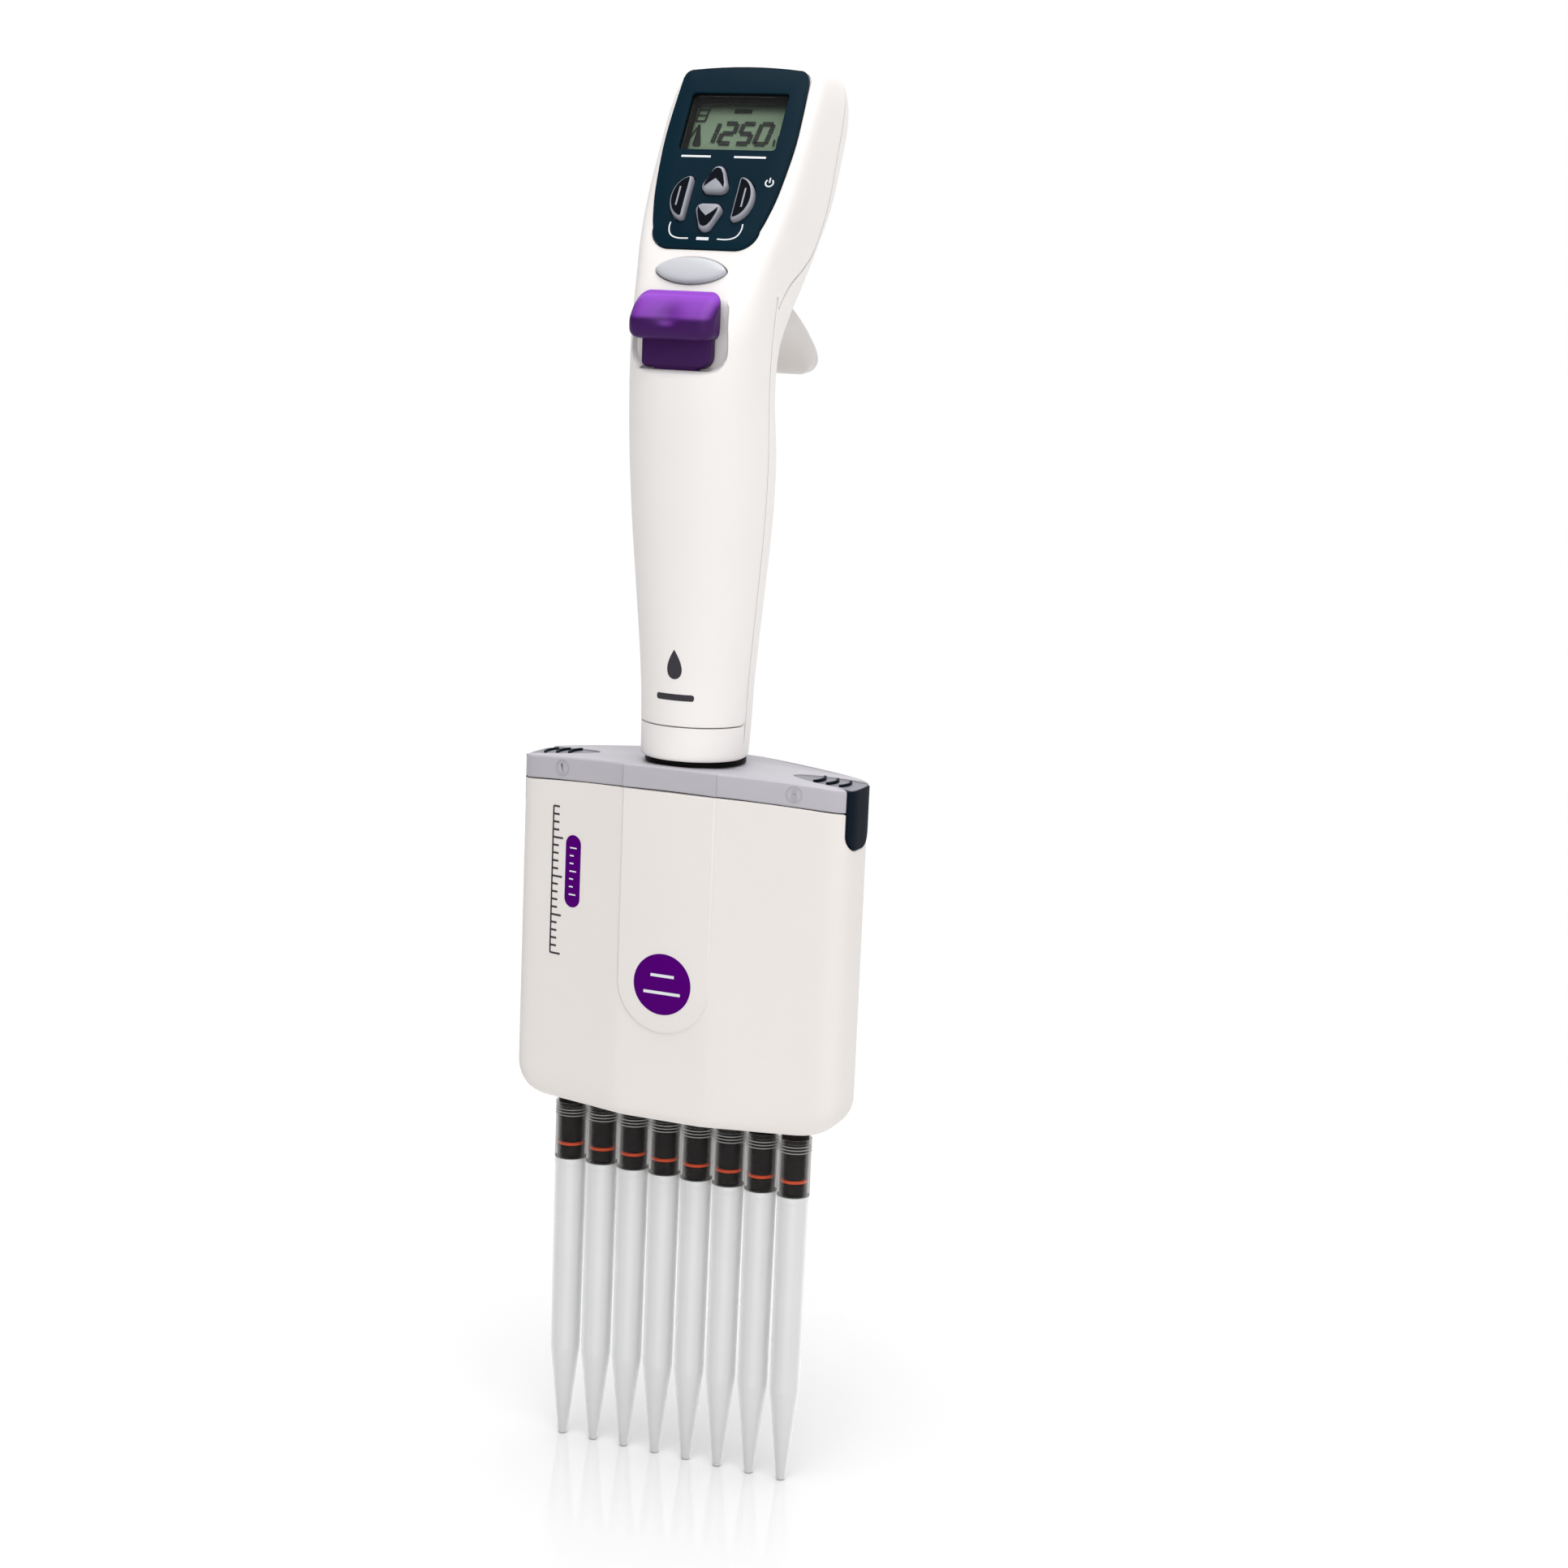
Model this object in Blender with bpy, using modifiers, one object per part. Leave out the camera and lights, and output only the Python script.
"""Eight-channel electronic pipette with its row of tips, as an assembly of separate pieces.

Design frame: X runs along the row of channels, the keypad faces -Y and +Z points up, with the
swivel axis at x = y = 0 and the nose cones ending 73.6 mm above z = 0. A parent empty shifts
that frame so that the world origin lies on the flat under the finger hook, where it hangs.
"""

import math

import bmesh
import bpy
from mathutils import Matrix, Vector

MM = 0.001
GAP = 0.3 * MM  # air left between pieces that touch on the real pipette
MERGE = 0.00001
CLEAR = 40.0 * MM  # how far a cutter reaches past what it cuts

# Driving dimensions
CHANNELS = 8
PITCH = 9.0 * MM  # spacing of the wells of a standard plate
CONE_END = 73.6 * MM
CONE_TOP = 93.7 * MM
CONE_RADIUS = 3.5 * MM
AIR_RADIUS = 1.2 * MM
O_RING_Z = 77.5 * MM
TIP_END = -3.1 * MM
TIP_SHOULDER = 20.7 * MM
TIP_TOP = 88.6 * MM
PISTON_RADIUS = 3.45 * MM
CYLINDER_RADIUS = 3.6 * MM

# Manifold: the lower, swivelling unit
MANIFOLD_HALF = 45.0 * MM
MANIFOLD_DEPTH = 15.4 * MM  # half depth at the raised middle
WING_START = 15.0 * MM  # half depth beside the raised middle
WING_SLOPE = 0.203  # how fast the wings get thinner towards the ends
NOSE_POWER = 3.6  # roundness of the ends, from 2 (an ellipse) upwards
END_DEPTH = 3.2 * MM  # half depth of the small flat at the very end
PANEL_HALF = 12.6 * MM
WING_END = 37.5 * MM  # the ends round over from here
HOUSING_BOTTOM = 91.3 * MM
SEAM_Z = 175.9 * MM
COVER_TOP = 182.0 * MM
ARCH_DROP = 2.2 * MM  # how much lower the ends of the seam and the cover lie
CORNER_RADIUS = 8.5 * MM
WALL = 2.0 * MM
BADGE_Z = 127.2 * MM  # the raised middle ends in a half circle about this height
LATCH_LENGTH = 18.0 * MM
LATCH_HALF = 5.6 * MM
LATCH_END_HALF = 5.9 * MM  # half width of the part down the end
LATCH_END_SHIFT = 1.0 * MM  # it sits off centre: one moulding, turned round for the other end
LATCH_BOTTOM = 164.6 * MM
LATCH_CORNER = 4.0 * MM
LATCH_PROUD = 0.5 * MM
LATCH_DEPTH = 1.1 * MM

# Handle and head
HANDLE_BOTTOM = 183.4  # mm
HEAD_TOP = 354.5  # mm
SHELL_WALL = 2.0  # mm
NECK_RADIUS = 9.5 * MM
TILT = math.radians(29.15)  # how far the head leans back
FACE_Y = -8.4 * MM
FACE_Z = 307.4 * MM  # the lower edge of the keypad panel lies at (FACE_Y, FACE_Z)
HOOK_FLAT_Z = 288.0 * MM
HOOK_FLAT_Y = 21.5 * MM
HOOK_HALF = 10.5 * MM
THUMB_X = -1.1 * MM  # the dosing button, the ejector key and its recess sit this far off centre
RECESS_HALF = 12.3 * MM
RECESS_BOTTOM = 278.9 * MM
RECESS_TOP = 297.3 * MM
RECESS_FLOOR_Y = -14.4 * MM
PANEL_LENGTH = 50.0  # mm up the slope
PANEL_TOP_HALF, PANEL_WIDEST_HALF, PANEL_FOOT_HALF = 16.5, 17.1, 13.9  # mm
LCD_LOW, LCD_HIGH, LCD_HALF = 27.3, 43.4, 12.9  # mm
LCD_DEPTH, LCD_THICK = 4.1, 1.5  # mm that the display is sunk, and its thickness
KEY_RISE = 1.9  # mm that the keys stand above the face
BUTTON_UP = -5.8  # mm from the foot of the panel, along the face
BUTTON_HALF, BUTTON_RISE = 9.2, 3.4  # mm

# Handle sections: height, half width, front, back, squareness of the front and of the back (mm)
HANDLE_STATIONS = (
    (183.4, 13.3, -14.1, 14.0, 2.0, 2.0),
    (191.6, 13.6, -14.1, 14.9, 2.0, 2.0),
    (203.9, 14.1, -14.6, 15.4, 2.0, 2.0),
    (221.9, 15.3, -16.3, 16.6, 2.1, 2.1),
    (240.9, 16.6, -18.4, 17.9, 2.2, 2.2),
    (257.1, 17.0, -20.3, 17.9, 2.3, 2.3),
    (273.2, 16.6, -21.9, 15.6, 2.4, 2.4),
    (284.6, 16.7, -20.2, 15.8, 2.8, 2.6),
    (293.1, 17.2, -15.8, 20.3, 4.0, 2.8),
    (299.7, 17.7, -12.0, 25.4, 5.5, 3.0),
    (309.4, 18.8, -7.2, 31.5, 7.0, 3.2),
    (319.8, 19.9, -1.4, 36.5, 7.0, 3.4),
    (332.2, 20.2, 5.5, 41.1, 7.0, 3.4),
    (341.3, 20.1, 10.6, 43.6, 7.0, 3.4),
    (347.3, 19.4, 14.0, 42.6, 6.0, 3.2),
    (351.4, 17.8, 16.9, 39.1, 5.0, 3.0),
    (353.7, 15.2, 19.7, 35.7, 4.0, 3.0),
    (354.5, 11.4, 22.2, 32.5, 3.0, 3.0),
)

# Where the front cover meets the rear shell, as (y, z) from the bottom up (mm)
PARTING = (
    (-3.2, 192.2), (-1.8, 193.0), (-1.3, 194.8), (-1.3, 288.5), (0.6, 294.2), (6.0, 299.8),
    (13.6, 304.2), (19.5, 309.0), (23.2, 318.0), (26.5, 329.5), (30.4, 341.0), (33.4, 347.5),
    (36.5, 358.0),
)

CROWN = (346.5, 349.5, 351.8, 353.5, 354.5)  # closer sections where the head rounds over (mm)

PARTS = None
CUTTERS = None
ORIGIN = None


def clear_scene():
    for obj in list(bpy.data.objects):
        bpy.data.objects.remove(obj, do_unlink=True)


def make_collections():
    """Make the collection of parts, the hidden one of cutters, and the parent of everything."""
    global PARTS, CUTTERS, ORIGIN
    PARTS = bpy.data.collections.new("multichannel_pipette")
    CUTTERS = bpy.data.collections.new("pipette_cutters")
    CUTTERS.hide_render = True
    bpy.context.scene.collection.children.link(PARTS)
    bpy.context.scene.collection.children.link(CUTTERS)
    ORIGIN = bpy.data.objects.new("pipette_frame", None)
    ORIGIN.location = (0.0, -HOOK_FLAT_Y, -HOOK_FLAT_Z)
    PARTS.objects.link(ORIGIN)


def material(name, colour, roughness, metallic=0.0, alpha=1.0):
    made = bpy.data.materials.new(name)
    made.use_nodes = True
    shader = made.node_tree.nodes["Principled BSDF"]
    shader.inputs["Base Color"].default_value = (*colour, 1.0)
    shader.inputs["Roughness"].default_value = roughness
    shader.inputs["Metallic"].default_value = metallic
    shader.inputs["Alpha"].default_value = alpha
    made.diffuse_color = (*colour, 1.0)
    return made


def make_materials():
    """One material for each kind of surface."""
    return {
        "shell_white": material("shell_white", (0.86, 0.85, 0.83), 0.45),
        "cover_grey": material("cover_grey", (0.45, 0.43, 0.47), 0.45),
        "panel_navy": material("panel_navy", (0.006, 0.022, 0.042), 0.3),
        "latch_navy": material("latch_navy", (0.012, 0.018, 0.03), 0.4),
        "eject_purple": material("eject_purple", (0.22, 0.045, 0.5), 0.35),
        "key_grey": material("key_grey", (0.38, 0.39, 0.42), 0.4),
        "button_grey": material("button_grey", (0.55, 0.58, 0.63), 0.35),
        "window_clear": material("window_clear", (0.8, 0.85, 0.8), 0.05, alpha=0.3),
        "lcd_green": material("lcd_green", (0.29, 0.38, 0.26), 0.3),
        "cone_black": material("cone_black", (0.04, 0.035, 0.037), 0.4),
        "o_ring_red": material("o_ring_red", (0.6, 0.06, 0.02), 0.4),
        "tip_clear": material("tip_clear", (0.85, 0.87, 0.87), 0.2, alpha=0.4),
        "steel": material("steel", (0.6, 0.6, 0.6), 0.3, metallic=1.0),
        "inner_grey": material("inner_grey", (0.3, 0.3, 0.31), 0.5),
        "board_green": material("board_green", (0.02, 0.16, 0.06), 0.5),
        "battery_blue": material("battery_blue", (0.05, 0.12, 0.3), 0.4),
        "neck_dark": material("neck_dark", (0.03, 0.03, 0.035), 0.5),
    }


def add_part(name, mesh, finish, joint_point=(0.0, 0.0, 0.0)):
    """Add a node whose origin lies at joint_point, with its mesh given in the design frame."""
    mesh.transform(Matrix.Translation(-Vector(joint_point)))
    obj = bpy.data.objects.new(name, mesh)
    obj.location = joint_point
    obj.parent = ORIGIN
    mesh.materials.clear()
    mesh.materials.append(finish)
    PARTS.objects.link(obj)
    return obj


def add_cutter(name, mesh):
    obj = bpy.data.objects.new(name, mesh)
    obj.parent = ORIGIN
    obj.display_type = "WIRE"
    obj.hide_render = True
    CUTTERS.objects.link(obj)
    return obj


def boolean(obj, cutter, operation="DIFFERENCE"):
    """Cut, keep or join with another object. The solver stays EXACT."""
    modifier = obj.modifiers.new(operation.lower(), "BOOLEAN")
    modifier.operation = operation
    modifier.object = cutter
    return modifier


def smooth_sides(mesh):
    for polygon in mesh.polygons:
        polygon.use_smooth = True
    mesh.set_sharp_from_angle(angle=math.radians(35.0))
    return mesh


def mesh_of(name, shape):
    """Turn a bmesh into a mesh and free it."""
    bmesh.ops.recalc_face_normals(shape, faces=shape.faces)
    mesh = bpy.data.meshes.new(name)
    shape.to_mesh(mesh)
    shape.free()
    return mesh


def box_mesh(name, low, high):
    """A box between two corners given in mm."""
    low = Vector(low) * MM
    high = Vector(high) * MM
    shape = bmesh.new()
    bmesh.ops.create_cube(shape, size=1.0)
    bmesh.ops.scale(shape, vec=high - low, verts=shape.verts)
    bmesh.ops.translate(shape, vec=(low + high) / 2, verts=shape.verts)
    return mesh_of(name, shape)


def cylinder_mesh(name, radius, bottom, top, centre=(0.0, 0.0), sides=24):
    """An upright cylinder between two heights, all in metres."""
    shape = bmesh.new()
    bmesh.ops.create_cone(
        shape, cap_ends=True, segments=sides, radius1=radius, radius2=radius, depth=top - bottom
    )
    bmesh.ops.translate(shape, vec=(centre[0], centre[1], (top + bottom) / 2), verts=shape.verts)
    return smooth_sides(mesh_of(name, shape))


def prism_mesh(name, outline, start, end, along):
    """A flat outline in metres, pushed from start to end along axis X, Y or Z.

    The outline is (y, z) for X, (x, z) for Y and (x, y) for Z.
    """
    curve = bpy.data.curves.new(name, "CURVE")
    curve.dimensions = "2D"
    curve.fill_mode = "BOTH"
    curve.extrude = (end - start) / 2
    spline = curve.splines.new("POLY")
    spline.points.add(len(outline) - 1)
    for point, (u, v) in zip(spline.points, outline):
        point.co = (u, v, 0.0, 1.0)
    spline.use_cyclic_u = True
    helper = bpy.data.objects.new(name, curve)
    CUTTERS.objects.link(helper)
    graph = bpy.context.evaluated_depsgraph_get()
    mesh = bpy.data.meshes.new_from_object(helper.evaluated_get(graph))
    bpy.data.objects.remove(helper)
    bpy.data.curves.remove(curve)
    middle = (start + end) / 2
    place = {
        "X": Matrix(((0, 0, 1, middle), (1, 0, 0, 0), (0, 1, 0, 0), (0, 0, 0, 1))),
        "Y": Matrix(((1, 0, 0, 0), (0, 0, -1, middle), (0, 1, 0, 0), (0, 0, 0, 1))),
        "Z": Matrix.Translation((0, 0, middle)),
    }[along]
    shape = bmesh.new()
    shape.from_mesh(mesh)
    bpy.data.meshes.remove(mesh)
    bmesh.ops.remove_doubles(shape, verts=shape.verts, dist=MERGE)
    bmesh.ops.transform(shape, matrix=place, verts=shape.verts)
    return smooth_sides(mesh_of(name, shape))


def turned(name, profile, finish, steps=24, ring=False, joint_point=(0.0, 0.0, 0.0)):
    """Turn a profile of (radius, height) in mm about an upright axis at joint_point."""
    mesh = bpy.data.meshes.new(name)
    points = [(radius * MM, 0.0, height * MM) for radius, height in profile]
    edges = [(i, i + 1) for i in range(len(points) - 1)]
    if ring:
        edges.append((len(points) - 1, 0))
    mesh.from_pydata(points, edges, [])
    mesh.materials.append(finish)
    obj = bpy.data.objects.new(name, mesh)
    obj.location = joint_point
    obj.parent = ORIGIN
    screw = obj.modifiers.new("turn", "SCREW")
    screw.steps = steps
    screw.render_steps = steps
    screw.use_merge_vertices = True
    screw.merge_threshold = MERGE
    screw.use_smooth_shade = True
    PARTS.objects.link(obj)
    return obj


def loft_mesh(name, rings):
    """Skin a stack of rings with the same number of points, and close both ends."""
    shape = bmesh.new()
    rows = [[shape.verts.new(point) for point in ring] for ring in rings]
    count = len(rings[0])
    for lower, upper in zip(rows, rows[1:]):
        for i in range(count):
            j = (i + 1) % count
            shape.faces.new((lower[i], lower[j], upper[j], upper[i]))
    shape.faces.new(list(reversed(rows[0])))
    shape.faces.new(rows[-1])
    return smooth_sides(mesh_of(name, shape))


def arc(centre, radius, start, end, steps):
    """Points of an arc in degrees, both ends included."""
    return [
        (
            centre[0] + radius * math.cos(math.radians(start + (end - start) * i / steps)),
            centre[1] + radius * math.sin(math.radians(start + (end - start) * i / steps)),
        )
        for i in range(steps + 1)
    ]


def rounded_box(left, right, bottom, top, radius, steps=4):
    """A rectangle with four round corners."""
    return (
        arc((right - radius, bottom + radius), radius, -90, 0, steps)
        + arc((right - radius, top - radius), radius, 0, 90, steps)
        + arc((left + radius, top - radius), radius, 90, 180, steps)
        + arc((left + radius, bottom + radius), radius, 180, 270, steps)
    )


def channel_places():
    """The x of each channel, from the left."""
    return [(i - (CHANNELS - 1) / 2) * PITCH for i in range(CHANNELS)]


# ---------------------------------------------------------------- handle


def station_at(height):
    """The handle's section at a height in mm, smoothed between its stations."""
    rows = HANDLE_STATIONS
    index = max(i for i in range(len(rows) - 1) if rows[i][0] <= height or i == 0)
    low, high = rows[index], rows[index + 1]
    before = rows[max(index - 1, 0)]
    after = rows[min(index + 2, len(rows) - 1)]
    span = high[0] - low[0]
    t = (height - low[0]) / span
    values = []
    for column in range(1, len(low)):
        slope_low = (high[column] - before[column]) / (high[0] - before[0]) * span
        slope_high = (after[column] - low[column]) / (after[0] - low[0]) * span
        values.append(
            (2 * t**3 - 3 * t**2 + 1) * low[column]
            + (t**3 - 2 * t**2 + t) * slope_low
            + (3 * t**2 - 2 * t**3) * high[column]
            + (t**3 - t**2) * slope_high
        )
    return values


def handle_ring(height, inset, sides):
    """The outline of the handle at a height in mm, drawn in by inset (mm)."""
    half, front, back, front_power, back_power = station_at(height)
    middle = front + 0.45 * (back - front)
    ring = []
    for i in range(sides):
        turn = math.tau * i / sides
        across, along = math.cos(turn), math.sin(turn)
        power = front_power if along < 0 else back_power
        reach = (middle - front) if along < 0 else (back - middle)
        x = math.copysign(abs(across) ** (2 / power), across) * (half - inset)
        y = middle + math.copysign(abs(along) ** (2 / power), along) * (reach - inset)
        ring.append((x * MM, y * MM, height * MM))
    return ring


def handle_skin(name, inset, bottom, top, sides=32, step=7.0):
    """The closed outer or inner skin of the handle between two heights in mm."""
    heights = [bottom]
    while heights[-1] + step < min(top, CROWN[0]):
        heights.append(heights[-1] + step)
    heights += [height for height in CROWN if height < top] + [top]
    rings = []
    for height in heights:
        ring = handle_ring(height + crown_lift(height, top), inset, sides)
        rings.append([(x, y, height * MM) for x, y, _ in ring])
    return loft_mesh(name, rings)


def crown_lift(height, top):
    """How much further up an inner skin reads its section near the crown, so that it closes in."""
    if top < CROWN[0]:
        return 0.0
    start = CROWN[0] - 12.0
    return (CROWN[-1] - top) * max(0.0, (height - start) / (top - start))


def parting_mesh(name, shift):
    """The block of space in front of the parting line, drawn out by shift (mm)."""
    line = [(y + shift, z - shift) for y, z in PARTING]
    outline = [(-60.0, line[0][1])] + line + [(-60.0, line[-1][1])]
    return prism_mesh(name, [(y * MM, z * MM) for y, z in outline], -CLEAR, CLEAR, "X")


def face_place():
    """The frame of the head's face: X across, Y up the slope and Z out of the face."""
    up = Vector((0.0, math.sin(TILT), math.cos(TILT)))
    out = Vector((0.0, -math.cos(TILT), math.sin(TILT)))
    place = Matrix.Identity(4)
    for row in range(3):
        place[row][0] = (1.0, 0.0, 0.0)[row]
        place[row][1] = up[row]
        place[row][2] = out[row]
        place[row][3] = (0.0, FACE_Y, FACE_Z)[row]
    return place


def face_prism(name, outline, bottom, top):
    """An outline in mm on the face, from bottom to top (mm) along the face's normal."""
    mesh = prism_mesh(
        name, [(x * MM, y * MM) for x, y in outline], bottom * MM, top * MM, "Z"
    )
    mesh.transform(face_place())
    return mesh


def face_point(across, up, out=0.0):
    """A point given in mm on the face's own axes, in the design frame."""
    return face_place() @ Vector((across * MM, up * MM, out * MM))


def panel_outline(inset=0.0):
    """The keypad panel: wide round-cornered head, narrower foot, bowed top edge (mm)."""
    top_half, foot_half = PANEL_TOP_HALF - inset, PANEL_FOOT_HALF - inset
    low, high = inset, PANEL_LENGTH - inset
    foot_corner, top_corner = 5.4, 2.4
    middle = [(x * (top_half - top_corner), high + 0.9 * (1 - x * x)) for x in (0.5, 0.0, -0.5)]
    right = arc((foot_half - foot_corner, low + foot_corner), foot_corner, -90, -6, 5)
    right += [
        (PANEL_FOOT_HALF + 0.9 - inset, 8.5),
        (PANEL_FOOT_HALF + 2.2 - inset, 16.0),
        (PANEL_WIDEST_HALF - inset, 28.0),
        (PANEL_WIDEST_HALF - 0.05 - inset, 36.0),
    ]
    right += arc((top_half - top_corner, high - top_corner), top_corner, 4, 88, 4)
    left = [(-x, y) for x, y in reversed(right)]
    return right + middle + left


def lcd_outline(inset=0.0):
    return rounded_box(-LCD_HALF + inset, LCD_HALF - inset, LCD_LOW + inset, LCD_HIGH - inset, 1.0, 3)


def triangle_key(up_sign):
    """A key with one round-cornered side towards its arrow (mm)."""
    half, tall, corner = 3.3, 7.3, 1.7
    points = arc((half - corner, -tall / 2 + corner), corner, -90, 30, 3)
    points += arc((0.0, tall / 2 - corner), corner, 30, 150, 4)
    points += arc((-half + corner, -tall / 2 + corner), corner, 150, 270, 3)
    if up_sign < 0:
        points = [(-x, -y) for x, y in points]
    return points


def moon_key(side):
    """A half-moon key, with its flat side towards the arrow keys (mm)."""
    half, tall = 2.25, 12.0
    bow = [
        (-half + 2 * half * math.cos(math.radians(a)), tall / 2 * math.sin(math.radians(a)))
        for a in range(-80, 81, 20)
    ]
    flat = [(-half - 0.1, tall / 2 - 0.7), (-half - 0.1, -tall / 2 + 0.7)]
    return [(side * x, y) for x, y in bow + flat][:: 1 if side > 0 else -1]


def lens(half_x, half_y, steps=28):
    """A lens outline with blunt points at its ends, about the dosing button's place (mm)."""
    points = []
    for i in range(steps):
        turn = math.tau * i / steps
        bow = math.copysign(abs(math.sin(turn)) ** 1.25, math.sin(turn))
        points.append((THUMB_X / MM + half_x * math.cos(turn), BUTTON_UP + half_y * bow))
    return points


KEYS = {
    "key_up": (0.0, 18.5, triangle_key(1)),
    "key_down": (0.0, 8.1, triangle_key(-1)),
    "key_menu": (-8.6, 13.3, moon_key(-1)),
    "key_enter": (8.6, 13.3, moon_key(1)),
}


def grown(outline, centre, amount):
    """An outline moved to its centre, with each point pushed out by amount (mm)."""
    placed = []
    for x, y in outline:
        distance = math.hypot(x, y)
        scale = (distance + amount) / distance
        placed.append((centre[0] + x * scale, centre[1] + y * scale))
    return placed


def make_shells(paint):
    """The front cover and the rear shell, split along the parting line."""
    hollow_low, hollow_high = HANDLE_BOTTOM + 2.6, HEAD_TOP - 2.4
    hollow = handle_skin("handle_inside", SHELL_WALL, hollow_low, hollow_high, 24, 9.0)
    inner = add_cutter("handle_inside", hollow)
    well = add_cutter(
        "well_block",
        box_mesh(
            "well_block",
            ((THUMB_X - RECESS_HALF) / MM - SHELL_WALL, -32.0, 276.9),
            ((THUMB_X + RECESS_HALF) / MM + SHELL_WALL, -12.5, 299.4),
        ),
    )
    boolean(inner, well)
    front = add_part("front_shell", handle_skin("front_shell", 0.0, HANDLE_BOTTOM, HEAD_TOP), paint)
    rear = add_part("rear_shell", handle_skin("rear_shell", 0.0, HANDLE_BOTTOM, HEAD_TOP), paint)
    for shell in (front, rear):
        boolean(shell, inner)
    boolean(front, add_cutter("front_region", parting_mesh("front_region", 0.0)), "INTERSECT")
    boolean(rear, add_cutter("front_room", parting_mesh("front_room", 0.3)))
    neck_hole = cylinder_mesh("neck_hole", NECK_RADIUS + GAP, 178 * MM, 188 * MM, sides=32)
    boolean(rear, add_cutter("neck_hole", neck_hole))
    recess = prism_mesh(
        "key_recess",
        rounded_box(
            THUMB_X - RECESS_HALF, THUMB_X + RECESS_HALF, RECESS_BOTTOM, RECESS_TOP, 3.0 * MM
        ),
        -CLEAR,
        RECESS_FLOOR_Y,
        "Y",
    )
    boolean(front, add_cutter("key_recess", recess))
    right = [(5.9, 256.9), (5.9, 271.9), (9.3, 272.4), (9.3, 280.2)]
    tee = [(THUMB_X + x * MM, z * MM) for x, z in right + [(-x, z) for x, z in reversed(right)]]
    slot = prism_mesh("stem_slot", tee, -18.8 * MM, -15.8 * MM, "Y")
    boolean(front, add_cutter("stem_slot", slot))
    seat = face_prism("panel_seat", panel_outline(-0.3), -1.6, 12.0)
    boolean(front, add_cutter("panel_seat", seat))
    window = face_prism("panel_window", panel_outline(2.2), -14.0, 2.0)
    boolean(front, add_cutter("panel_window", window))
    button_hole = face_prism("button_hole", lens(BUTTON_HALF + 0.35, BUTTON_RISE + 0.35), -12.0, 12.0)
    boolean(front, add_cutter("button_hole", button_hole))


def make_finger_hook(paint):
    """The hook that rests on the index finger, with a flat underside by the handle."""
    outline = [
        (9.0, 297.2), (22.0, 296.4), (28.2, 294.3), (34.8, 291.0), (40.8, 287.2), (44.6, 284.2),
        (45.9, 281.6), (45.4, 279.0), (43.6, 277.4), (41.4, 277.6), (40.0, 279.2), (38.4, 282.0),
        (35.4, 284.9), (31.0, 287.0), (26.0, 288.0), (9.0, 288.0),
    ]
    profile = [(y * MM, z * MM) for y, z in outline]
    hook = add_part(
        "finger_hook", prism_mesh("finger_hook", profile, -HOOK_HALF, HOOK_HALF, "X"), paint
    )
    rear_view = rounded_box(-HOOK_HALF, HOOK_HALF, 277.2 * MM, 320.0 * MM, 5.0 * MM)
    boolean(
        hook,
        add_cutter("hook_corners", prism_mesh("hook_corners", rear_view, 0.0, CLEAR * 2, "Y")),
        "INTERSECT",
    )
    room = add_cutter("hook_room", handle_skin("hook_room", -GAP / MM, HANDLE_BOTTOM, HEAD_TOP))
    boolean(hook, room)


def make_keypad(paints):
    """The navy panel with its keys and display, and the dosing button below it."""
    panel = add_part(
        "keypad_panel",
        face_prism("keypad_panel", panel_outline(), -1.3, 0.35),
        paints["panel_navy"],
    )
    opening = face_prism("lcd_opening", lcd_outline(), -4.0, 4.0)
    boolean(panel, add_cutter("lcd_opening", opening))
    for name, (across, up, outline) in KEYS.items():
        hole = face_prism(name + "_hole", grown(outline, (across, up), 0.35), -4.0, 4.0)
        boolean(panel, add_cutter(name + "_hole", hole))
        add_part(
            name,
            face_prism(name, grown(outline, (across, up), 0.0), -2.4, KEY_RISE),
            paints["key_grey"],
            face_point(across, up),
        )
    add_part(
        "display_window",
        face_prism("display_window", lcd_outline(0.3), -1.5, -0.7),
        paints["window_clear"],
    )
    add_part(
        "lcd_module",
        face_prism("lcd_module", lcd_outline(-0.8), -LCD_DEPTH - LCD_THICK, -LCD_DEPTH),
        paints["lcd_green"],
    )
    add_part(
        "circuit_board",
        face_prism("circuit_board", rounded_box(-14.0, 14.0, 2.5, 44.0, 2.0), -7.4, -5.8),
        paints["board_green"],
    )
    add_part(
        "battery_pack",
        face_prism("battery_pack", rounded_box(-14.0, 14.0, 3.0, 37.0, 2.5), -19.5, -9.0),
        paints["battery_blue"],
    )
    add_part(
        "dosing_button",
        face_prism("dosing_button", lens(BUTTON_HALF, BUTTON_RISE), -4.6, 0.9),
        paints["button_grey"],
        face_point(THUMB_X / MM, BUTTON_UP),
    )


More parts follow.
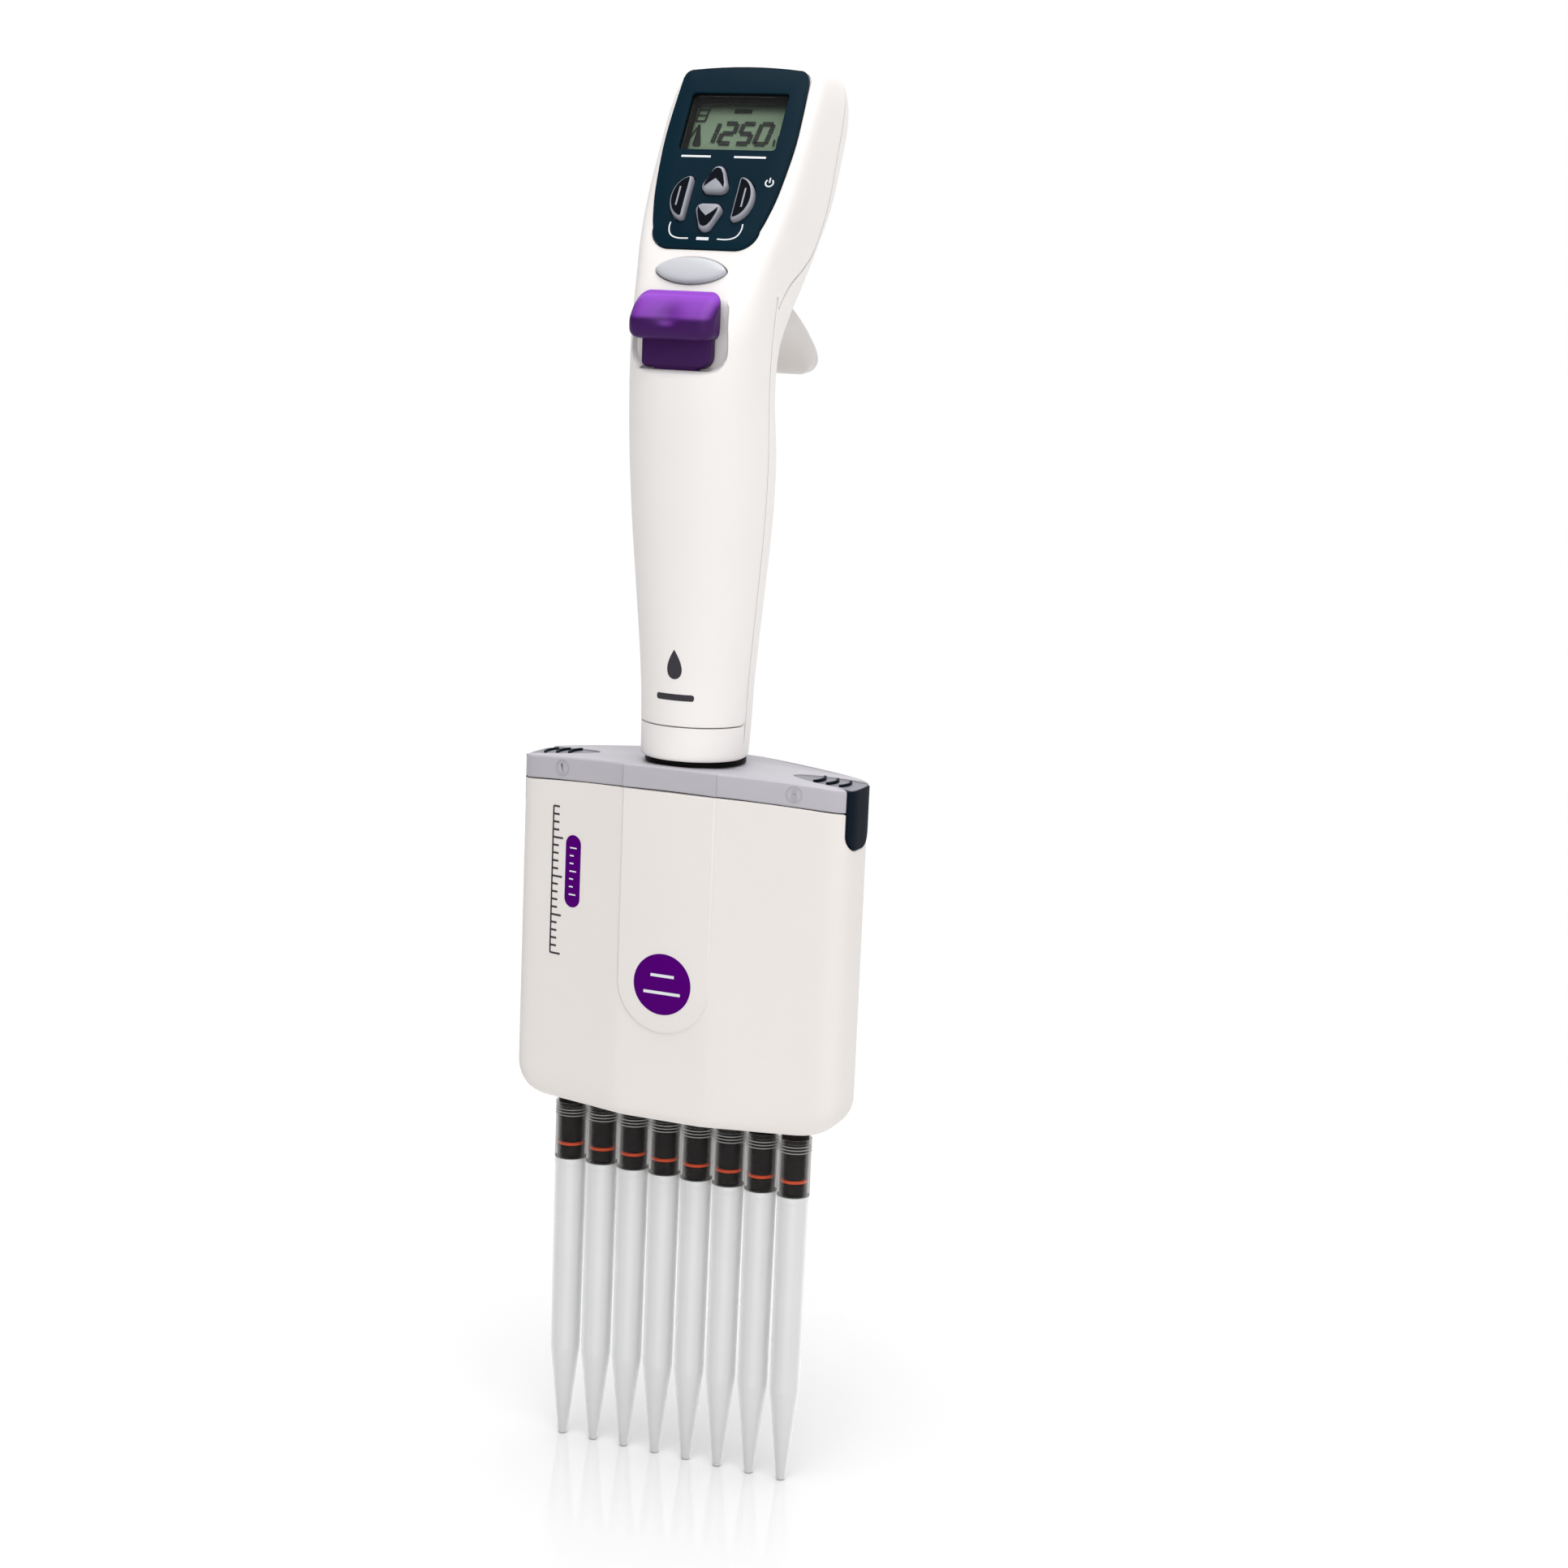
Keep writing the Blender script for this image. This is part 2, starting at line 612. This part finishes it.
def make_ejector(paints):
    """The thumb key with its stem, the linkage down to the neck and the return spring."""
    side_view = [
        (-18.5, 264.5), (-18.5, 285.3), (-22.0, 285.6), (-23.3, 286.6), (-23.4, 289.2),
        (-23.1, 290.6), (-20.6, 293.8), (-18.8, 295.5), (-17.2, 296.6), (-15.1, 297.0),
        (-15.1, 287.2), (-16.1, 286.2), (-16.1, 270.2), (-14.95, 269.0), (-14.95, 264.5),
    ]
    key = add_part(
        "ejector_key",
        prism_mesh(
            "ejector_key", [(y * MM, z * MM) for y, z in side_view], -CLEAR, CLEAR, "X"
        ),
        paints["eject_purple"],
        (THUMB_X, -18.9 * MM, 285.7 * MM),
    )
    tail, stem, pad = 5.5 * MM, 8.95 * MM, 11.2 * MM
    foot, shoulder, waist, corner_z = 263.5 * MM, 278.9 * MM, 285.1 * MM, 293.9 * MM
    front_view = [(-tail, foot), (tail, foot), (tail, shoulder), (stem, shoulder)]
    front_view += [(stem, waist), (pad, waist + 2.2 * MM)]
    front_view += arc((pad - 2.7 * MM, corner_z), 2.7 * MM, 0, 90, 4)
    front_view += arc((-pad + 2.7 * MM, corner_z), 2.7 * MM, 90, 180, 4)
    front_view += [(-pad, waist + 2.2 * MM), (-stem, waist)]
    front_view += [(-stem, shoulder + 0.01 * MM), (-tail, shoulder + 0.01 * MM)]
    front_view = [(THUMB_X + x, z) for x, z in front_view]
    silhouette = prism_mesh("key_front_view", front_view, -CLEAR, CLEAR, "Y")
    boolean(key, add_cutter("key_front_view", silhouette), "INTERSECT")
    tube = turned(
        "ejector_linkage",
        [(6.3, 241.0), (6.3, 179.7), (5.0, 179.7), (5.0, 241.0)],
        paints["inner_grey"],
        ring=True,
    )
    arm = box_mesh("linkage_arm", (-4.0, -14.3, 238.0), (4.0, -5.6, 241.3))
    boolean(tube, add_cutter("linkage_arm", arm), "UNION")
    bar = box_mesh("linkage_bar", (-4.6, -14.6, 238.3), (4.6, -12.8, 274.0))
    boolean(tube, add_cutter("linkage_bar", bar), "UNION")
    make_spring(paints["steel"])


def make_spring(paint):
    """A coil round the ejector tube, between the drive frame and the linkage's arm."""
    turns, points_per_turn, wire = 8, 12, 0.45 * MM
    low, high = 196.9 * MM, 237.2 * MM
    curve = bpy.data.curves.new("ejector_spring", "CURVE")
    curve.dimensions = "3D"
    curve.bevel_depth = wire
    curve.bevel_resolution = 1
    curve.use_fill_caps = True
    spline = curve.splines.new("POLY")
    count = turns * points_per_turn
    spline.points.add(count)
    for i, point in enumerate(spline.points):
        angle = math.tau * i / points_per_turn
        height = low + (high - low) * i / count
        point.co = (7.35 * MM * math.cos(angle), 7.35 * MM * math.sin(angle), height, 1.0)
    curve.materials.append(paint)
    spring = bpy.data.objects.new("ejector_spring", curve)
    spring.parent = ORIGIN
    PARTS.objects.link(spring)


def make_drive(paints):
    """Motor, lead screw and lift rod, on a frame that stands on the neck."""
    add_part(
        "motor",
        cylinder_mesh("motor", 10.0 * MM, 255.8 * MM, 282.0 * MM),
        paints["steel"],
    )
    frame = turned(
        "drive_frame",
        [(11.3, 196.2), (11.3, 193.2), (7.2, 193.2), (7.2, 196.2)],
        paints["inner_grey"],
        ring=True,
    )
    for side in (-1, 1):
        inner_x, outer_x = sorted((side * 8.5, side * 10.8))
        name = "frame_post_left" if side < 0 else "frame_post_right"
        post = box_mesh(name, (inner_x, -3.0, 193.6), (outer_x, 3.0, 254.0))
        boolean(frame, add_cutter(name, post), "UNION")
    plate = rounded_box(-12.8 * MM, 12.8 * MM, -10.6 * MM, 10.8 * MM, 6.0 * MM)
    top = prism_mesh("frame_top", plate, 252.5 * MM, 255.5 * MM, "Z")
    boolean(frame, add_cutter("frame_top", top), "UNION")
    screw_hole = cylinder_mesh("screw_hole", 3.0 * MM, 244.0 * MM, 264.0 * MM, sides=16)
    boolean(frame, add_cutter("screw_hole", screw_hole))
    add_part(
        "lead_screw",
        cylinder_mesh("lead_screw", 2.0 * MM, 188.0 * MM, 255.5 * MM, sides=16),
        paints["steel"],
    )
    turned(
        "lift_rod",
        [(0.0, 145.0), (2.6, 145.0), (2.6, 218.0), (4.0, 218.0), (4.0, 134.9), (0.0, 134.9)],
        paints["steel"],
        steps=16,
    )


def make_neck(paints):
    """The tube that the manifold turns on, flanged under the manifold's cover."""
    turned(
        "swivel_neck",
        [(9.5, 192.9), (9.5, 179.6), (11.0, 179.6), (11.0, 177.8), (7.0, 177.8), (7.0, 192.9)],
        paints["neck_dark"],
        steps=32,
        ring=True,
    )
    turned(
        "swivel_nut",
        [(11.4, 177.5), (11.4, 175.2), (7.4, 175.2), (7.4, 177.5)],
        paints["inner_grey"],
        steps=32,
        ring=True,
    )


# ---------------------------------------------------------------- manifold


def half_depth(x):
    """Half the manifold's depth at x: flat in the middle, tapering wings, rounded ends."""
    if x <= PANEL_HALF:
        return MANIFOLD_DEPTH
    straight = WING_START - WING_SLOPE * (x - PANEL_HALF)
    turn = min(1.0, max(0.0, x - WING_END) / (MANIFOLD_HALF - WING_END))
    return max(END_DEPTH, straight * (1.0 - turn**NOSE_POWER) ** (1.0 / NOSE_POWER))


def plan_outline(inset=0.0):
    """The manifold seen from above, drawn in by inset (m)."""
    stretch = (MANIFOLD_HALF - inset) / MANIFOLD_HALF
    nose = MANIFOLD_HALF - WING_END
    rounding = [WING_END + nose * t for t in (0.0, 0.45, 0.65, 0.8, 0.9, 0.96, 1.0)]
    stations = [PANEL_HALF, PANEL_HALF + MERGE] + rounding
    back = [(x * stretch, half_depth(x) - inset) for x in stations]
    front = [(x, -y) for x, y in reversed(back)]
    half = back + front
    return half + [(-x, y) for x, y in reversed(half)]


def arch(x, height):
    """The height of a seam or top edge that falls towards the ends."""
    return height - ARCH_DROP * (x / MANIFOLD_HALF) ** 2


def arch_band(bottom, top, half=MANIFOLD_HALF + 6 * MM, steps=12):
    """The band between two arches, as seen from the front."""
    places = [-half + 2 * half * i / steps for i in range(steps + 1)]
    lower = [(x, arch(x, bottom)) for x in places]
    upper = [(x, arch(x, top)) for x in reversed(places)]
    return lower + upper


def housing_front(inset=0.0):
    """The housing seen from the front: round bottom corners and an arched top."""
    half = MANIFOLD_HALF + 0.1 * MM - inset
    low = HOUSING_BOTTOM + inset
    radius = CORNER_RADIUS - inset
    bottom = arc((half - radius, low + radius), radius, -90, 0, 5)
    left = [(-x, z) for x, z in reversed(bottom)]
    top = [(half * (1 - i / 6), arch(half * (1 - i / 6), SEAM_Z)) for i in range(13)]
    return left + bottom + top


def make_housing(paint, latch_rooms):
    body = add_part(
        "manifold_housing",
        prism_mesh("manifold_housing", plan_outline(), HOUSING_BOTTOM, SEAM_Z, "Z"),
        paint,
    )
    front = prism_mesh("housing_front", housing_front(), -CLEAR, CLEAR, "Y")
    boolean(body, add_cutter("housing_front", front), "INTERSECT")
    hollow = prism_mesh(
        "housing_hollow", plan_outline(WALL), HOUSING_BOTTOM + 2 * WALL, SEAM_Z + 10 * MM, "Z"
    )
    hollow = add_cutter("housing_hollow", hollow)
    inside = prism_mesh("housing_inside", housing_inside(), -CLEAR, CLEAR, "Y")
    boolean(hollow, add_cutter("housing_inside", inside), "INTERSECT")
    boolean(body, hollow)
    mouth = prism_mesh(
        "housing_mouth", ejector_plan(0.5 * MM), HOUSING_BOTTOM - WALL, 110 * MM, "Z"
    )
    boolean(body, add_cutter("housing_mouth", mouth))
    below_badge = arc((0.0, BADGE_Z), PANEL_HALF + 0.05 * MM, 180, 360, 14)
    below_badge += [(PANEL_HALF + 1.5 * MM, BADGE_Z), (PANEL_HALF + 1.5 * MM, 80 * MM)]
    below_badge += [(-PANEL_HALF - 1.5 * MM, 80 * MM), (-PANEL_HALF - 1.5 * MM, BADGE_Z)]
    step = prism_mesh("badge_step", below_badge, -CLEAR, -WING_START, "Y")
    boolean(body, add_cutter("badge_step", step))
    for room in latch_rooms:
        boolean(body, room)


def housing_inside():
    """The hollow seen from the front, open upwards."""
    half = MANIFOLD_HALF - WALL
    low = HOUSING_BOTTOM + WALL
    radius = CORNER_RADIUS - WALL
    bottom = arc((half - radius, low + radius), radius, -90, 0, 4)
    left = [(-x, z) for x, z in reversed(bottom)]
    return left + bottom + [(half, SEAM_Z + CLEAR), (-half, SEAM_Z + CLEAR)]


def make_cover(paint, latch_rooms):
    """The grey cap of the manifold, with the hole that the neck turns in."""
    cover = add_part(
        "manifold_cover",
        prism_mesh("manifold_cover", plan_outline(), SEAM_Z - 10 * MM, COVER_TOP + 5 * MM, "Z"),
        paint,
    )
    band = prism_mesh(
        "cover_band", arch_band(SEAM_Z + GAP, COVER_TOP), -CLEAR, CLEAR, "Y"
    )
    boolean(cover, add_cutter("cover_band", band), "INTERSECT")
    hollow = prism_mesh(
        "cover_hollow", plan_outline(WALL), SEAM_Z - 12 * MM, COVER_TOP + 6 * MM, "Z"
    )
    hollow = add_cutter("cover_hollow", hollow)
    under = prism_mesh(
        "cover_under", arch_band(SEAM_Z - 14 * MM, COVER_TOP - WALL), -CLEAR, CLEAR, "Y"
    )
    boolean(hollow, add_cutter("cover_under", under), "INTERSECT")
    boolean(cover, hollow)
    hole = cylinder_mesh("cover_hole", NECK_RADIUS + GAP, 170 * MM, 190 * MM, sides=32)
    boolean(cover, add_cutter("cover_hole", hole))
    for room in latch_rooms:
        boolean(cover, room)


def tongue_outline(side, grow):
    """The latch's half-elliptic tongue seen from above, running past the end."""
    reach = LATCH_LENGTH + grow
    half = LATCH_HALF + grow
    start = MANIFOLD_HALF
    bow = [
        (start - reach * math.cos(math.radians(a)), half * math.sin(math.radians(a)))
        for a in range(-90, 91, 15)
    ]
    outline = bow + [(start + 6 * MM, half), (start + 6 * MM, -half)]
    return [(side * x, y) for x, y in outline]


def latch_solid(name, side, grow, add):
    """A latch, or with grow the room it sits in: a tongue on top and a strap down the end."""
    tongue = add(name, prism_mesh(name, tongue_outline(side, grow), 150 * MM, 200 * MM, "Z"))
    depth = LATCH_DEPTH + grow
    lift = LATCH_PROUD if grow == 0.0 else 3 * MM
    band = prism_mesh(
        name + "_band", arch_band(COVER_TOP - depth, COVER_TOP + lift), -CLEAR, CLEAR, "Y"
    )
    boolean(tongue, add_cutter(name + "_band", band), "INTERSECT")
    ends = prism_mesh(
        name + "_ends", plan_outline(-lift), LATCH_BOTTOM - 5 * MM, COVER_TOP + 5 * MM, "Z"
    )
    ends = add_cutter(name + "_ends", ends)
    boolean(tongue, ends, "INTERSECT")
    strap = add_cutter(
        name + "_strap",
        prism_mesh(name + "_strap", plan_outline(-lift), 150 * MM, COVER_TOP + 1 * MM, "Z"),
    )
    core = prism_mesh(name + "_core", plan_outline(depth), 140 * MM, 200 * MM, "Z")
    boolean(strap, add_cutter(name + "_core", core))
    low, radius = LATCH_BOTTOM - grow, LATCH_CORNER
    top = arch(MANIFOLD_HALF, COVER_TOP) + 0.4 * lift
    front = -side * LATCH_END_SHIFT - LATCH_END_HALF - grow
    back = -side * LATCH_END_SHIFT + LATCH_END_HALF + grow
    side_view = (
        arc((back - radius, low + radius), radius, -90, 0, 5)
        + [(back, top), (front, top)]
        + arc((front + radius, low + radius), radius, 180, 270, 5)
    )
    limits = sorted((side * 30 * MM, side * 60 * MM))
    keep = prism_mesh(name + "_keep", side_view, limits[0], limits[1], "X")
    boolean(strap, add_cutter(name + "_keep", keep), "INTERSECT")
    boolean(tongue, strap, "UNION")
    return tongue


def make_latches(paint):
    rooms = []
    for name, side in (("latch_left", -1), ("latch_right", 1)):
        latch_solid(name, side, 0.0, lambda label, mesh: add_part(label, mesh, paint))
        rooms.append(latch_solid(name + "_room", side, GAP, add_cutter))
    return rooms


def make_channels(paints):
    """The cylinder block, and for each channel a nose cone, an O-ring and a tip."""
    places = channel_places()
    block = add_part(
        "channel_block",
        box_mesh("channel_block", (-36.5, -5.6, 94.0), (36.5, 5.6, 130.4)),
        paints["inner_grey"],
    )
    for number, x in enumerate(places, start=1):
        bore = cylinder_mesh(
            f"cylinder_bore_{number}", CYLINDER_RADIUS, 90 * MM, 135 * MM, (x, 0.0), sides=16
        )
        boolean(block, add_cutter(f"cylinder_bore_{number}", bore))
    cone, ring, end, top = CONE_RADIUS / MM, O_RING_Z / MM, CONE_END / MM, CONE_TOP / MM
    groove_low, groove_high = ring - 0.55, ring + 0.55
    cone_profile = [
        (cone, top), (cone, groove_high), (2.85, groove_high), (2.85, groove_low),
        (cone, groove_low), (cone, end + 1.4), (cone - 0.5, end), (AIR_RADIUS / MM, end),
        (AIR_RADIUS / MM, top),
    ]
    tip_top, shoulder, tip_end = TIP_TOP / MM, TIP_SHOULDER / MM, TIP_END / MM
    tip_profile = [
        (4.25, tip_top), (4.22, 72.1), (4.12, 71.8), (3.85, shoulder), (1.2, tip_end),
        (0.7, tip_end), (3.2, shoulder), (3.55, 71.5), (3.75, 76.0), (3.75, tip_top),
    ]
    for number, x in enumerate(places, start=1):
        turned(
            f"nose_cone_{number}", cone_profile, paints["cone_black"], 16, True, (x, 0.0, 0.0)
        )
        turned(
            f"o_ring_{number}",
            [
                (3.27 + 0.37 * math.cos(math.radians(a)), ring + 0.37 * math.sin(math.radians(a)))
                for a in range(60, -300, -60)
            ],
            paints["o_ring_red"],
            16,
            True,
            (x, 0.0, 0.0),
        )
        turned(f"tip_{number}", tip_profile, paints["tip_clear"], 16, True, (x, 0.0, 0.0))


def make_piston_rack(paint):
    """The plate and the eight pistons that it lifts."""
    rack = add_part(
        "piston_rack", box_mesh("piston_rack", (-37.0, -4.8, 131.6), (37.0, 4.8, 134.6)), paint
    )
    for number, x in enumerate(channel_places(), start=1):
        piston = cylinder_mesh(
            f"piston_{number}", PISTON_RADIUS, 95 * MM, 133 * MM, (x, 0.0), sides=16
        )
        boolean(rack, add_cutter(f"piston_{number}", piston), "UNION")


def ejector_plan(grow=0.0):
    """The ejector plate seen from above: a bar with a wider middle."""
    half, depth, wide, middle = 37.0 * MM, 6.2 * MM, 10.9 * MM, 4.0 * MM
    half, depth, wide, middle = half + grow, depth + grow, wide + grow, middle + grow
    quarter = [(half, depth - 0.2 * MM), (middle, depth), (middle, wide)]
    right = quarter + [(-x, y) for x, y in reversed(quarter)]
    return right + [(-x, -y) for x, y in right]


def make_ejector_bar(paint):
    """The plate round the nose cones, hung from a ring under the neck by two rods."""
    bar = add_part(
        "ejector_bar", prism_mesh("ejector_bar", ejector_plan(), 91.5 * MM, 93.3 * MM, "Z"), paint
    )
    hanger = [
        (8.3, 92.4), (10.5, 92.4), (10.5, 174.6), (6.4, 174.6), (6.4, 178.2), (5.2, 178.2),
        (5.2, 171.6), (8.3, 171.6),
    ]
    for side, label in ((-1, "front"), (1, "back")):
        outline = [(side * y * MM, z * MM) for y, z in hanger]
        shape = prism_mesh(f"bar_hanger_{label}", outline, -1.9 * MM, 1.9 * MM, "X")
        boolean(bar, add_cutter(f"bar_hanger_{label}", shape), "UNION")
    ring = turned_cutter("bar_ring", [(6.8, 179.4), (6.8, 177.4), (4.7, 177.4), (4.7, 179.4)])
    boolean(bar, ring, "UNION")
    for number, x in enumerate(channel_places(), start=1):
        hole = cylinder_mesh(f"bar_hole_{number}", 3.85 * MM, 85 * MM, 99 * MM, (x, 0.0), sides=16)
        boolean(bar, add_cutter(f"bar_hole_{number}", hole))


def turned_cutter(name, profile):
    """A turned ring that is only used to cut or join."""
    shape = bmesh.new()
    steps = 24
    loops = []
    for i in range(steps):
        turn = math.tau * i / steps
        loops.append(
            [
                shape.verts.new((r * MM * math.cos(turn), r * MM * math.sin(turn), z * MM))
                for r, z in profile
            ]
        )
    for i in range(steps):
        here, there = loops[i], loops[(i + 1) % steps]
        for k in range(len(profile)):
            m = (k + 1) % len(profile)
            shape.faces.new((here[k], here[m], there[m], there[k]))
    return add_cutter(name, mesh_of(name, shape))


def main():
    clear_scene()
    make_collections()
    paints = make_materials()
    make_shells(paints["shell_white"])
    make_finger_hook(paints["shell_white"])
    make_keypad(paints)
    make_ejector(paints)
    make_drive(paints)
    make_neck(paints)
    rooms = make_latches(paints["latch_navy"])
    make_housing(paints["shell_white"], rooms)
    make_cover(paints["cover_grey"], rooms)
    make_channels(paints)
    make_piston_rack(paints["steel"])
    make_ejector_bar(paints["inner_grey"])


main()
